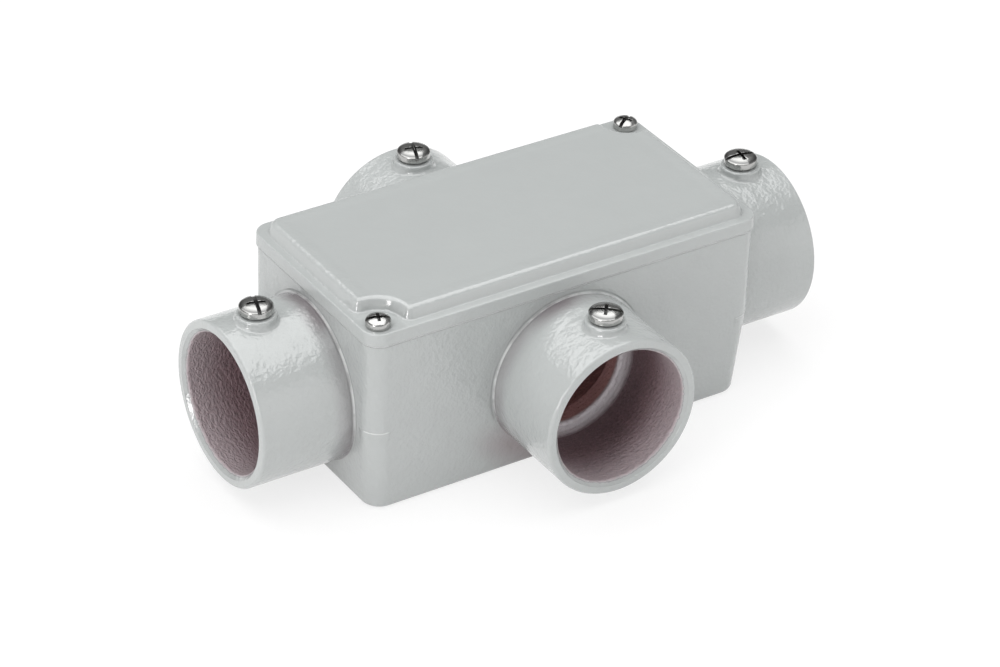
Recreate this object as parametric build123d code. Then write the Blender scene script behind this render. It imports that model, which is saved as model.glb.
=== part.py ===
from build123d import *
import os

# Four-way conduit body: a cast junction box with four set-screw hubs and a screwed cover.
# Millimetres, +Z up. The origin is the middle of the box's flat underside, +X is the long way.

# The conduit decides the sockets.
CONDUIT_D = 32.0
SOCKET_CLEARANCE = 0.4
SOCKET_R = (CONDUIT_D + SOCKET_CLEARANCE) / 2
SOCKET_DEPTH = 21.0
SOCKET_CHAMFER = 1.1
SHOULDER_STEP = 2.85
THROAT_R = SOCKET_R - SHOULDER_STEP

# The box is straight above the parting line at the hubs' axis and drafted below it.
BODY_LENGTH = 101.2
BODY_WIDTH = 52.2

# The four hubs stand round the box at one height, inside the box's height.
HUB_WALL = 3.05
HUB_R = SOCKET_R + HUB_WALL
HUB_OVER_UNDERSIDE = 3.05
HUB_UNDER_BODY_TOP = 1.75
HUB_AXIS_Z = HUB_OVER_UNDERSIDE + HUB_R
HUB_REACH_X = 22.6
HUB_REACH_Y = 22.1
HUB_MOUTH_X = BODY_LENGTH / 2 + HUB_REACH_X
HUB_MOUTH_Y = BODY_WIDTH / 2 + HUB_REACH_Y
HUB_MOUTH_CHAMFER = 0.45
BODY_TOP_Z = HUB_AXIS_Z + HUB_R + HUB_UNDER_BODY_TOP
BODY_CORNER_R = 4.4
BODY_DRAFT_DEG = 3.3
BODY_BOTTOM_CHAMFER = 0.9
BODY_WALL = 2.8
BODY_FLOOR = 3.2
CHAMBER_CORNER_R = 1.6

# A thin gasket lies between the box and the cover.
GASKET_THICKNESS = 0.5
GASKET_INSET = 0.3
GASKET_WIDTH = 2.2

# The cover overhangs the box a little. Its middle is a raised panel, hollow underneath.
COVER_OVERHANG = 0.4
COVER_CORNER_R = 4.5
COVER_RIM_THICKNESS = 3.2
COVER_RIM_CHAMFER = 0.6
COVER_UNDERSIDE_CHAMFER = 0.3
COVER_LENGTH = BODY_LENGTH + 2 * COVER_OVERHANG
COVER_WIDTH = BODY_WIDTH + 2 * COVER_OVERHANG
COVER_UNDERSIDE_Z = BODY_TOP_Z + GASKET_THICKNESS
COVER_RIM_Z = COVER_UNDERSIDE_Z + COVER_RIM_THICKNESS
PANEL_INSET = 1.9
PANEL_CORNER_R = 3.8
PANEL_RISE = 2.6
PANEL_DRAFT_DEG = 24.0
PANEL_EDGE_ROUND = 0.9
SCALLOP_ROOM = 3.2
SCALLOP_CUSP_ROUND = 2.3
COVER_SKIN = 2.4
COVER_POCKET_INSET = 6.0
COVER_POCKET_R = 3.0

# The cover screws sit in two opposite corners and thread into posts cast in the box.
COVER_SCREW_INSET = 4.2
COVER_SCREW_R = 1.5
COVER_SCREW_LENGTH = 10.0
COVER_SCREW_HEAD_R = 2.8
COVER_SCREW_HEAD_H = 2.1
SCALLOP_R = COVER_SCREW_HEAD_R + SCALLOP_ROOM
COVER_SCREW_X = COVER_LENGTH / 2 - COVER_SCREW_INSET
COVER_SCREW_Y = COVER_WIDTH / 2 - COVER_SCREW_INSET
COVER_HOLE_CLEARANCE = 0.2
GASKET_HOLE_CLEARANCE = 0.3
POST_WALL = 2.1
POST_R = COVER_SCREW_R + POST_WALL
POST_HOLE_EXTRA_DEPTH = 1.5

# A set screw goes through a round boss on top of each hub.
SET_SCREW_FROM_MOUTH_X = 9.2
SET_SCREW_FROM_MOUTH_Y = 8.4
SET_SCREW_X = HUB_MOUTH_X - SET_SCREW_FROM_MOUTH_X
SET_SCREW_Y = HUB_MOUTH_Y - SET_SCREW_FROM_MOUTH_Y
SET_SCREW_R = 2.0
SET_SCREW_HEAD_R = 3.85
SET_SCREW_HEAD_H = 2.3
BOSS_OVER_HEAD = 0.75
BOSS_R = SET_SCREW_HEAD_R + BOSS_OVER_HEAD
BOSS_RISE = 1.65
BOSS_TOP_Z = HUB_AXIS_Z + HUB_R + BOSS_RISE

# At rest its head stands off the boss and its tip ends short of the socket's wall.
SET_SCREW_STANDOFF = 0.4
SET_SCREW_TIP_GAP = 0.1
SET_SCREW_LENGTH = HUB_WALL + BOSS_RISE + SET_SCREW_STANDOFF - SET_SCREW_TIP_GAP

# A screw in a tapped hole is modelled as a smooth running fit.
THREAD_FIT = 0.05

# Every head has a slot right across it and a cross in the middle.
SLOT_WIDTH = 1.1
SLOT_DEPTH = 1.0
CROSS_WIDTH = 0.9
CROSS_DEPTH = 1.4
CROSS_REACH_IN_HEAD = 0.55
HEAD_CROWN_HEIGHT = 0.7
HEAD_CROWN_WIDTH = 0.75
SLOT_ANGLE_LEFT = -107.0
SLOT_ANGLE_RIGHT = -8.0
SLOT_ANGLE_FRONT = -38.0
SLOT_ANGLE_BACK = -109.0
SLOT_ANGLE_COVER_FRONT = -22.0
SLOT_ANGLE_COVER_REAR = -148.0


def rounded_block(length, width, radius, z_low, z_high):
    """A block with rounded upright corners between two heights."""
    outline = Plane.XY.offset(z_low) * RectangleRounded(length, width, radius)
    return extrude(outline, amount=z_high - z_low)


def drafted_block(length, width, radius, z_high, z_low, draft):
    """A block whose outline is given at its top and shrinks downwards."""
    outline = Plane.XY.offset(z_high) * RectangleRounded(length, width, radius)
    return extrude(outline, amount=z_low - z_high, taper=draft)


def rod(x, y, z_low, z_high, radius):
    """An upright cylinder between two heights."""
    middle = Pos(x, y, (z_low + z_high) / 2)
    return middle * Cylinder(radius, z_high - z_low)


def lying_rod(direction, near, far, radius):
    """A cylinder on a hub's axis, from one distance from the middle to another."""
    start = Vector(direction.X * near, direction.Y * near, HUB_AXIS_Z)
    base = Plane(origin=start, z_dir=direction)
    return extrude(base * Circle(radius), amount=far - near)


HUBS = {
    "left": (Vector(-1, 0, 0), HUB_MOUTH_X, SET_SCREW_X),
    "right": (Vector(1, 0, 0), HUB_MOUTH_X, SET_SCREW_X),
    "front": (Vector(0, -1, 0), HUB_MOUTH_Y, SET_SCREW_Y),
    "back": (Vector(0, 1, 0), HUB_MOUTH_Y, SET_SCREW_Y),
}


def ring_edges(solid, direction, distance, radius):
    """The round edges of one radius at one distance out along a hub's axis."""
    found = ShapeList()
    for edge in solid.edges().filter_by(GeomType.CIRCLE):
        centre = edge.arc_center
        along = centre.X * direction.X + centre.Y * direction.Y
        if abs(along - distance) < 0.02 and abs(edge.radius - radius) < 0.02:
            found.append(edge)
    return found


def make_body():
    """The cast box with its four hubs, bosses, sockets and screw posts, all one casting."""
    upper = rounded_block(BODY_LENGTH, BODY_WIDTH, BODY_CORNER_R, HUB_AXIS_Z, BODY_TOP_Z)
    lower = drafted_block(BODY_LENGTH, BODY_WIDTH, BODY_CORNER_R, HUB_AXIS_Z, 0, BODY_DRAFT_DEG)
    lower = chamfer(lower.faces().sort_by(Axis.Z)[0].edges(), BODY_BOTTOM_CHAMFER)
    body = upper + lower
    for direction, mouth, screw in HUBS.values():
        body += lying_rod(direction, 0, mouth, HUB_R)
    for direction, mouth, screw in HUBS.values():
        body += rod(direction.X * screw, direction.Y * screw, HUB_AXIS_Z, BOSS_TOP_Z, BOSS_R)
    for direction, mouth, screw in HUBS.values():
        body = chamfer(ring_edges(body, direction, mouth, HUB_R), HUB_MOUTH_CHAMFER)

    # The chamber follows the walls: straight above the parting line, drafted below it.
    room_length = BODY_LENGTH - 2 * BODY_WALL
    room_width = BODY_WIDTH - 2 * BODY_WALL
    room = rounded_block(room_length, room_width, CHAMBER_CORNER_R, HUB_AXIS_Z, BODY_TOP_Z)
    well = drafted_block(room_length, room_width, CHAMBER_CORNER_R, HUB_AXIS_Z, BODY_FLOOR, BODY_DRAFT_DEG)
    room += well

    # The posts for the cover screws stay standing in two corners of the chamber.
    for side in (-1, 1):
        x = side * COVER_SCREW_X
        y = side * COVER_SCREW_Y
        room -= rod(x, y, 0, BODY_TOP_Z, POST_R)
        corner = Pos(x + side * POST_R, y, BODY_TOP_Z / 2)
        room -= corner * Box(2 * POST_R, 2 * POST_R, BODY_TOP_Z)
        corner = Pos(x, y + side * POST_R, BODY_TOP_Z / 2)
        room -= corner * Box(2 * POST_R, 2 * POST_R, BODY_TOP_Z)
    body -= room

    # A socket ends at a shoulder that stops the conduit; the throat behind it lets the wires through.
    for direction, mouth, screw in HUBS.values():
        body -= lying_rod(direction, 0, mouth, THROAT_R)
    for direction, mouth, screw in HUBS.values():
        body -= lying_rod(direction, mouth - SOCKET_DEPTH, mouth, SOCKET_R)
    for direction, mouth, screw in HUBS.values():
        body = chamfer(ring_edges(body, direction, mouth, SOCKET_R), SOCKET_CHAMFER)

    # Tapped holes: one through each boss, one blind hole in each post.
    for direction, mouth, screw in HUBS.values():
        x = direction.X * screw
        y = direction.Y * screw
        body -= rod(x, y, HUB_AXIS_Z, BOSS_TOP_Z, SET_SCREW_R + THREAD_FIT)
    hole_bottom = COVER_RIM_Z - COVER_SCREW_LENGTH - POST_HOLE_EXTRA_DEPTH
    for side in (-1, 1):
        x = side * COVER_SCREW_X
        y = side * COVER_SCREW_Y
        body -= rod(x, y, hole_bottom, BODY_TOP_Z, COVER_SCREW_R + THREAD_FIT)
    return body


def make_gasket():
    """A flat ring between the box and the cover, with an ear round each cover screw."""
    outer_length = BODY_LENGTH - 2 * GASKET_INSET
    outer_width = BODY_WIDTH - 2 * GASKET_INSET
    outer_r = BODY_CORNER_R - GASKET_INSET
    top = BODY_TOP_Z + GASKET_THICKNESS
    ring = rounded_block(outer_length, outer_width, outer_r, BODY_TOP_Z, top)
    inner_length = outer_length - 2 * GASKET_WIDTH
    inner_width = outer_width - 2 * GASKET_WIDTH
    window = rounded_block(inner_length, inner_width, CHAMBER_CORNER_R, BODY_TOP_Z, top)
    for side in (-1, 1):
        x = side * COVER_SCREW_X
        y = side * COVER_SCREW_Y
        window -= rod(x, y, BODY_TOP_Z, top, POST_R)
        middle = Pos(x + side * POST_R, y, (BODY_TOP_Z + top) / 2)
        window -= middle * Box(2 * POST_R, 2 * POST_R, GASKET_THICKNESS)
        middle = Pos(x, y + side * POST_R, (BODY_TOP_Z + top) / 2)
        window -= middle * Box(2 * POST_R, 2 * POST_R, GASKET_THICKNESS)
    gasket = ring - window
    for side in (-1, 1):
        x = side * COVER_SCREW_X
        y = side * COVER_SCREW_Y
        gasket -= rod(x, y, BODY_TOP_Z, top, COVER_SCREW_R + GASKET_HOLE_CLEARANCE)
    return gasket


def make_cover():
    """The cast cover: a flat rim, a raised panel with a scallop at each screw, hollow below."""
    rim = rounded_block(COVER_LENGTH, COVER_WIDTH, COVER_CORNER_R, COVER_UNDERSIDE_Z, COVER_RIM_Z)
    rim = chamfer(rim.faces().sort_by(Axis.Z)[-1].edges(), COVER_RIM_CHAMFER)
    rim = chamfer(rim.faces().sort_by(Axis.Z)[0].edges(), COVER_UNDERSIDE_CHAMFER)

    outline = RectangleRounded(COVER_LENGTH - 2 * PANEL_INSET, COVER_WIDTH - 2 * PANEL_INSET, PANEL_CORNER_R)
    for side in (-1, 1):
        outline -= Pos(side * COVER_SCREW_X, side * COVER_SCREW_Y) * Circle(SCALLOP_R)
    cusps = ShapeList()
    for corner in outline.vertices():
        for side in (-1, 1):
            dx = corner.X - side * COVER_SCREW_X
            dy = corner.Y - side * COVER_SCREW_Y
            if abs((dx * dx + dy * dy) ** 0.5 - SCALLOP_R) < 0.01:
                cusps.append(corner)
    outline = fillet(cusps, SCALLOP_CUSP_ROUND)
    panel = extrude(Plane.XY.offset(COVER_RIM_Z) * outline, amount=PANEL_RISE, taper=PANEL_DRAFT_DEG)
    panel = fillet(panel.faces().sort_by(Axis.Z)[-1].edges(), PANEL_EDGE_ROUND)
    cover = rim + panel

    # The pocket underneath keeps solid seats round the two screws.
    pocket_top = COVER_RIM_Z + PANEL_RISE - COVER_SKIN
    pocket_length = COVER_LENGTH - 2 * COVER_POCKET_INSET
    pocket_width = COVER_WIDTH - 2 * COVER_POCKET_INSET
    pocket = rounded_block(pocket_length, pocket_width, COVER_POCKET_R, COVER_UNDERSIDE_Z, pocket_top)
    for side in (-1, 1):
        x = side * COVER_SCREW_X
        y = side * COVER_SCREW_Y
        pocket -= rod(x, y, COVER_UNDERSIDE_Z, pocket_top, SCALLOP_R + COVER_SKIN)
    cover -= pocket
    for side in (-1, 1):
        x = side * COVER_SCREW_X
        y = side * COVER_SCREW_Y
        cover -= rod(x, y, COVER_UNDERSIDE_Z, COVER_RIM_Z, COVER_SCREW_R + COVER_HOLE_CLEARANCE)
    return cover


def pan_head(x, y, seat_z, head_r, head_h):
    """A pan head turned from its half profile: a straight band with a bevelled crown."""
    top = seat_z + head_h
    profile = Polyline(
        (0, seat_z),
        (head_r, seat_z),
        (head_r, top - HEAD_CROWN_HEIGHT),
        (head_r - HEAD_CROWN_WIDTH, top),
        (0, top),
        close=True,
    )
    half = make_face(Plane.XZ * profile)
    return Pos(x, y, 0) * revolve(half, Axis.Z)


def make_screw(x, y, seat_z, radius, length, head_r, head_h, slot_angle):
    """A pan-head screw standing upright, with a slot and a cross in its head."""
    shank = rod(x, y, seat_z - length, seat_z, radius)
    screw = shank + pan_head(x, y, seat_z, head_r, head_h)
    top = Pos(x, y, seat_z + head_h) * Rot(0, 0, slot_angle)
    screw -= top * Box(3 * head_r, SLOT_WIDTH, 2 * SLOT_DEPTH)
    cross_length = 2 * head_r * CROSS_REACH_IN_HEAD
    cross = top * Box(cross_length, CROSS_WIDTH, 2 * CROSS_DEPTH)
    cross += top * Box(CROSS_WIDTH, cross_length, 2 * CROSS_DEPTH)
    screw -= cross
    return screw


def make_set_screw(side, slot_angle):
    """The set screw of one hub. Its tip ends just short of the socket's wall."""
    direction, mouth, screw = HUBS[side]
    seat = BOSS_TOP_Z + SET_SCREW_STANDOFF
    return make_screw(direction.X * screw, direction.Y * screw, seat, SET_SCREW_R,
                      SET_SCREW_LENGTH, SET_SCREW_HEAD_R, SET_SCREW_HEAD_H, slot_angle)


def make_cover_screw(side, slot_angle):
    """A cover screw, seated on the rim inside its scallop."""
    return make_screw(side * COVER_SCREW_X, side * COVER_SCREW_Y, COVER_RIM_Z, COVER_SCREW_R,
                      COVER_SCREW_LENGTH, COVER_SCREW_HEAD_R, COVER_SCREW_HEAD_H, slot_angle)


def main():
    os.makedirs("parts", exist_ok=True)
    export_step(make_body(), "parts/body.step")
    export_step(make_gasket(), "parts/gasket.step")
    export_step(make_cover(), "parts/cover.step")
    export_step(make_cover_screw(-1, SLOT_ANGLE_COVER_FRONT), "parts/cover_screw_front.step")
    export_step(make_cover_screw(1, SLOT_ANGLE_COVER_REAR), "parts/cover_screw_rear.step")
    export_step(make_set_screw("left", SLOT_ANGLE_LEFT), "parts/set_screw_left.step")
    export_step(make_set_screw("right", SLOT_ANGLE_RIGHT), "parts/set_screw_right.step")
    export_step(make_set_screw("front", SLOT_ANGLE_FRONT), "parts/set_screw_front.step")
    export_step(make_set_screw("back", SLOT_ANGLE_BACK), "parts/set_screw_back.step")


main()
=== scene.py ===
# %% [markdown]
# # A cast conduit body
#
# This lesson dresses a four-way conduit body: a grey powder-coated box with a socket on each side, a
# set screw on each socket and a cover held by two screws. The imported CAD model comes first. It is the
# frame that every piece sits on, and it says where each screw and each socket is. The lesson then
# models the castings and the screws again with the soft edges that a real casting has, gives each
# finish its material, and sets up a white studio.

# %% Load the frame
import math
from types import SimpleNamespace

import bmesh
import bpy
from mathutils import Matrix, Vector


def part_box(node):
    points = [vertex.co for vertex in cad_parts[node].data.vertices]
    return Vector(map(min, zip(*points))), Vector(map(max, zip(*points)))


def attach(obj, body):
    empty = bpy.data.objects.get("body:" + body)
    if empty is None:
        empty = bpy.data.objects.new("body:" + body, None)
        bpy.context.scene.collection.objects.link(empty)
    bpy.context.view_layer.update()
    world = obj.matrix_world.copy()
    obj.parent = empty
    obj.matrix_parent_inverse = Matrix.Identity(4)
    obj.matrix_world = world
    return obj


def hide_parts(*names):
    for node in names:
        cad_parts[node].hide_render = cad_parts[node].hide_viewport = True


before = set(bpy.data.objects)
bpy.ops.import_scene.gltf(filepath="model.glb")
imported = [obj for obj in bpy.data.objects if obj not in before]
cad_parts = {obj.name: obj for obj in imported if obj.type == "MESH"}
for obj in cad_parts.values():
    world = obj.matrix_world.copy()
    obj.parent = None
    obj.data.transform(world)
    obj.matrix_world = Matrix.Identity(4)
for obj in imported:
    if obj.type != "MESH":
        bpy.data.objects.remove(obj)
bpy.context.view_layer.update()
print("nodes:", sorted(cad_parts))

# %% [markdown]
# ## Sizes
#
# The meshes are modelled in millimetres, because that is how such a part is drawn, and shrunk to
# metres when they are finished. The main sizes are read from the frame, so that the castings stay in
# step with it. The rest are the sizes that the drawing of the part gives: radii, walls and depths.
# DRAFT is how far the leaning lower walls have come in at the floor.

# %% Sizes in millimetres
MM = 0.001


def node_box(node):
    """Lowest and highest corner of a CAD node, in millimetres."""
    low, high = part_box(node)
    return Vector(low) / MM, Vector(high) / MM


body_high = node_box("body")[1]
cover_low, cover_high = node_box("cover")
gasket_low, gasket_high = node_box("gasket")

HUB_AXIS_Z = 22.3
HUB_R = 19.25
SOCKET_R = 16.2
SOCKET_DEPTH = 21.0
SOCKET_CHAMFER = 1.1
THROAT_R = 13.35
MOUTH_X = body_high.x
MOUTH_Y = body_high.y
BODY_TOP = body_high.z
COVER_OVERHANG = 0.4
BOX_X = cover_high.x - COVER_OVERHANG
BOX_Y = cover_high.y - COVER_OVERHANG
WALL = 2.8
FLOOR = 3.2
DRAFT_ANGLE = math.radians(3.3)
DRAFT = math.tan(DRAFT_ANGLE) * HUB_AXIS_Z
print("box", round(2 * BOX_X, 1), "x", round(2 * BOX_Y, 1), "x", round(BODY_TOP, 1), "mm")

# %% [markdown]
# ## Helpers for solids
#
# A casting is one solid with many shapes in it, so it is made as a founder makes the pattern: simple
# bodies are added to each other and cores are taken away. Blender does that with the Boolean modifier.
# Its result is read back as a mesh each time, so that the next step, such as rounding the new edge,
# can work on it. The helpers keep each of these steps to one line.


# %% Solids from bmesh
def solid(bm, name):
    """A bmesh as an object with its faces turned outwards."""
    bmesh.ops.recalc_face_normals(bm, faces=bm.faces)
    mesh = bpy.data.meshes.new(name)
    bm.to_mesh(mesh)
    bm.free()
    piece = bpy.data.objects.new(name, mesh)
    bpy.context.scene.collection.objects.link(piece)
    return piece


def combine(piece, tool, how):
    """Adds the tool to the piece (UNION) or takes it away (DIFFERENCE). The tool is used up."""
    step = piece.modifiers.new("combine", "BOOLEAN")
    step.object = tool
    step.operation = how
    step.solver = "EXACT"
    shaped = piece.evaluated_get(bpy.context.evaluated_depsgraph_get())
    mesh = bpy.data.meshes.new_from_object(shaped)
    piece.modifiers.clear()
    old = piece.data
    piece.data = mesh
    bpy.data.meshes.remove(old)
    bpy.data.objects.remove(tool)
    return piece


def reshape(piece, change):
    """Runs change(bm) on the piece's mesh."""
    bm = bmesh.new()
    bm.from_mesh(piece.data)
    change(bm)
    bm.to_mesh(piece.data)
    bm.free()
    return piece


# %% Rounded blocks and rods
def round_edges(bm, edges, radius, segments, clamp=True):
    """Rounds edges with a circular bevel."""
    return bmesh.ops.bevel(bm, geom=edges, offset=radius, segments=segments, profile=0.5,
                           affect="EDGES", material=-1, clamp_overlap=clamp)


def is_upright(edge):
    one, two = edge.verts
    return abs(one.co.x - two.co.x) < 1e-4 and abs(one.co.y - two.co.y) < 1e-4


def edges_at_height(bm, z):
    """The edges that lie level at one height."""
    return [e for e in bm.edges if all(abs(v.co.z - z) < 1e-3 for v in e.verts)]


def block(half_x, half_y, low, high, corner, segments=10):
    """A block with rounded upright corners."""
    bm = bmesh.new()
    bmesh.ops.create_cube(bm, size=1.0)
    bmesh.ops.scale(bm, vec=(2 * half_x, 2 * half_y, high - low), verts=bm.verts)
    bmesh.ops.translate(bm, vec=(0, 0, (low + high) / 2), verts=bm.verts)
    round_edges(bm, [e for e in bm.edges if is_upright(e)], corner, segments)
    return bm


def rod(x, y, low, high, radius, segments=64):
    """An upright cylinder."""
    bm = bmesh.new()
    place = Matrix.Translation((x, y, (low + high) / 2))
    bmesh.ops.create_cone(bm, cap_ends=True, segments=segments, radius1=radius, radius2=radius,
                          depth=high - low, matrix=place)
    return bm


def turned(profile, rounded, segments):
    """Turns a half profile of (radius, height) points about the Z axis.

    rounded gives, for the number of a corner in the profile, the radius that rounds it.
    """
    bm = bmesh.new()
    line = [bm.verts.new((r, 0, z)) for r, z in profile]
    for one, two in zip(line, line[1:]):
        bm.edges.new((one, two))
    for corner, radius in rounded.items():
        bmesh.ops.bevel(bm, geom=[line[corner]], offset=radius, segments=5, profile=0.5,
                        affect="VERTICES", material=-1)
    bmesh.ops.spin(bm, geom=bm.verts[:] + bm.edges[:], cent=(0, 0, 0), axis=(0, 0, 1),
                   angle=2 * math.pi, steps=segments, use_merge=True)
    bmesh.ops.remove_doubles(bm, verts=bm.verts, dist=1e-4)
    return bm


# %% [markdown]
# ## The box
#
# The box is straight above the height of the sockets' axis, where the two halves of the mould met,
# and narrows below it so that the casting came out of the mould. Moving each lower corner inwards
# makes that draft and keeps the corner round. The real corners grow softer towards the floor, so the
# lower arcs are also scaled up a little.

# %% The outer box
BOX_CORNER = 4.2
LOW_CORNER = 4.7
FLOOR_EDGE_R = 1.5


def set_corners(verts, was, now, half_x, half_y, inward=0.0):
    """Gives one ring of a block other corner radii and moves it inwards."""
    for v in verts:
        side_x = math.copysign(1, v.co.x)
        side_y = math.copysign(1, v.co.y)
        arc_x = v.co.x * side_x - (half_x - was)
        arc_y = v.co.y * side_y - (half_y - was)
        v.co.x = side_x * (half_x - inward - now + arc_x * now / was)
        v.co.y = side_y * (half_y - inward - now + arc_y * now / was)


def draft_lower_half(bm, corner_high, corner_low, half_x, half_y):
    """Splits the block at the parting line and moves the lowest ring inwards."""
    floor = min(v.co.z for v in bm.verts)
    bmesh.ops.bisect_plane(bm, geom=bm.verts[:] + bm.edges[:] + bm.faces[:], dist=1e-4,
                           plane_co=(0, 0, HUB_AXIS_Z), plane_no=(0, 0, 1))
    inward = DRAFT * (HUB_AXIS_Z - floor) / HUB_AXIS_Z
    lowest = [v for v in bm.verts if v.co.z < floor + 1e-3]
    set_corners(lowest, corner_high, corner_low, half_x, half_y, inward)


bm = block(BOX_X, BOX_Y, 0, BODY_TOP, BOX_CORNER, segments=12)
draft_lower_half(bm, BOX_CORNER, LOW_CORNER, BOX_X, BOX_Y)
round_edges(bm, edges_at_height(bm, 0), FLOOR_EDGE_R, 5)
casting = solid(bm, "casting_body")
print("box:", len(casting.data.polygons), "faces")

# %% [markdown]
# ## The hubs
#
# Each hub is a round rod that runs into the box. A rod's end edge is easy to round before it is
# joined, and the edge where it meets the wall is easy to round after. One loop makes all four hubs and
# lays each along its own direction.

# %% Four hubs
HUB_SEGMENTS = 144
HUB_ROOT = 5.0
MOUTH_EDGE_R = 0.7
SIDES = {
    "left": (Vector((-1, 0, 0)), MOUTH_X, BOX_X),
    "right": (Vector((1, 0, 0)), MOUTH_X, BOX_X),
    "front": (Vector((0, -1, 0)), MOUTH_Y, BOX_Y),
    "back": (Vector((0, 1, 0)), MOUTH_Y, BOX_Y),
}


def lay_along(bm, direction):
    """Lays a shape that stands on the Z axis along a hub's axis, at the hubs' height."""
    turn = Vector((0, 0, 1)).rotation_difference(direction).to_matrix().to_4x4()
    bmesh.ops.transform(bm, matrix=Matrix.Translation((0, 0, HUB_AXIS_Z)) @ turn, verts=bm.verts)
    return bm


for side, (direction, mouth, wall) in SIDES.items():
    bm = rod(0, 0, wall - HUB_ROOT, mouth, HUB_R, HUB_SEGMENTS)
    round_edges(bm, edges_at_height(bm, mouth), MOUTH_EDGE_R, 4)
    combine(casting, solid(lay_along(bm, direction), "hub_" + side), "UNION")
print("with hubs:", len(casting.data.polygons), "faces")

# %% [markdown]
# ## Soft feet
#
# Metal doesn't fill a sharp inner corner, so a casting has a fillet wherever two shapes meet. The
# edges where the hubs leave the walls are found by their distance from the hubs' axes and rounded.

# %% Fillets where the hubs leave the box
HUB_FOOT_R = 0.55
NEAR = 0.02


def from_axis(point, direction):
    """Distance of a point from a hub's axis."""
    return math.hypot(point.x * direction.y - point.y * direction.x, point.z - HUB_AXIS_Z)


def wall_at(wall, z):
    """How far out the box's wall is at one height."""
    return wall - max(0.0, 1 - z / HUB_AXIS_Z) * DRAFT


def round_hub_feet(bm):
    feet = []
    for edge in bm.edges:
        for direction, mouth, wall in SIDES.values():
            if all(abs(from_axis(v.co, direction) - HUB_R) < NEAR
                   and abs(v.co.dot(direction) - wall_at(wall, v.co.z)) < NEAR for v in edge.verts):
                feet.append(edge)
                break
    print("foot edges:", len(feet))
    round_edges(bm, feet, HUB_FOOT_R, 6)


reshape(casting, round_hub_feet)

# %% [markdown]
# ## The bosses
#
# A round boss on each hub carries the thread of the set screw. It is turned from a half profile with a
# rounded top and a flared foot. The hub falls away to both sides, so the flare is moved down by as
# much as the hub falls, and it then runs into the hub all round.

# %% Four bosses with flared feet
BOSS_R = 4.6
BOSS_RISE = 1.65
BOSS_TOP_R = 0.5
BOSS_FLARE = 0.8
SKIRT_R = BOSS_R + 1.5
SKIRT_Z = -0.12
BOSS_ROOT = -2.0
SCREW_NODES = {side: "set_screw_" + side for side in SIDES}


def screw_place(node):
    """The axis of a screw, in millimetres."""
    low, high = node_box(node)
    return (low.x + high.x) / 2, (low.y + high.y) / 2


for side, (direction, mouth, wall) in SIDES.items():
    x, y = screw_place(SCREW_NODES[side])
    profile = [(0, BOSS_RISE), (BOSS_R, BOSS_RISE), (BOSS_R, 0.05), (SKIRT_R, SKIRT_Z),
               (SKIRT_R, BOSS_ROOT), (0, BOSS_ROOT)]
    bm = turned(profile, {1: BOSS_TOP_R, 2: BOSS_FLARE}, 72)
    for v in bm.verts:
        if v.co.z < BOSS_FLARE + 0.05:
            aside = v.co.x * direction.y - v.co.y * direction.x
            v.co.z += math.sqrt(HUB_R ** 2 - aside ** 2) - HUB_R
    bmesh.ops.translate(bm, vec=(x, y, HUB_AXIS_Z + HUB_R), verts=bm.verts)
    combine(casting, solid(bm, "boss_" + side), "UNION")
print("with bosses:", len(casting.data.polygons), "faces")

# %% [markdown]
# ## The chamber
#
# The inside shows when the cover is lifted. It follows the walls at their thickness, with the same
# draft, and leaves two posts standing in opposite corners for the cover screws. So the core is a
# block with the posts cut out of it, and the core is then cut out of the casting.

# %% Chamber with two screw posts
POST_R = 3.6
CHAMBER_CORNER = BOX_CORNER - WALL + 0.2
CHAMBER_LOW_CORNER = LOW_CORNER - WALL + 0.2
CHAMBER_FLOOR_R = 1.2
cover_screws = [screw_place("cover_screw_front"), screw_place("cover_screw_rear")]
bm = block(BOX_X - WALL, BOX_Y - WALL, FLOOR, BODY_TOP + 2, CHAMBER_CORNER)
draft_lower_half(bm, CHAMBER_CORNER, CHAMBER_LOW_CORNER, BOX_X - WALL, BOX_Y - WALL)
round_edges(bm, edges_at_height(bm, FLOOR), CHAMBER_FLOOR_R, 4)


def leave_posts(core):
    """Cuts the two posts, and the webs that tie them to the walls, out of a core."""
    for x, y in cover_screws:
        combine(core, solid(rod(x, y, -5, BODY_TOP + 5, POST_R), "post"), "DIFFERENCE")
        out_x = math.copysign(POST_R, x)
        out_y = math.copysign(POST_R, y)
        for middle in ((x + out_x, y), (x, y + out_y)):
            bm = block(POST_R, POST_R, -6, BODY_TOP + 6, 0.01, segments=1)
            bmesh.ops.translate(bm, vec=(middle[0], middle[1], 0), verts=bm.verts)
            combine(core, solid(bm, "post_web"), "DIFFERENCE")
    return core


combine(casting, leave_posts(solid(bm, "chamber_core")), "DIFFERENCE")
print("with chamber:", len(casting.data.polygons), "faces")

# %% [markdown]
# ## Sockets, shoulders and throats
#
# A conduit slides into the socket until it meets the shoulder, and the wires go on through the throat.
# One half profile holds all of it: chamfer, socket wall, shoulder with its worn round edge and throat.
# A small step at the mouth is left where the chamfering tool ended. Turning the profile gives the core,
# and taking the core away leaves the whole bore. The numbers of the profile's corners say which of them
# are rounded.

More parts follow.
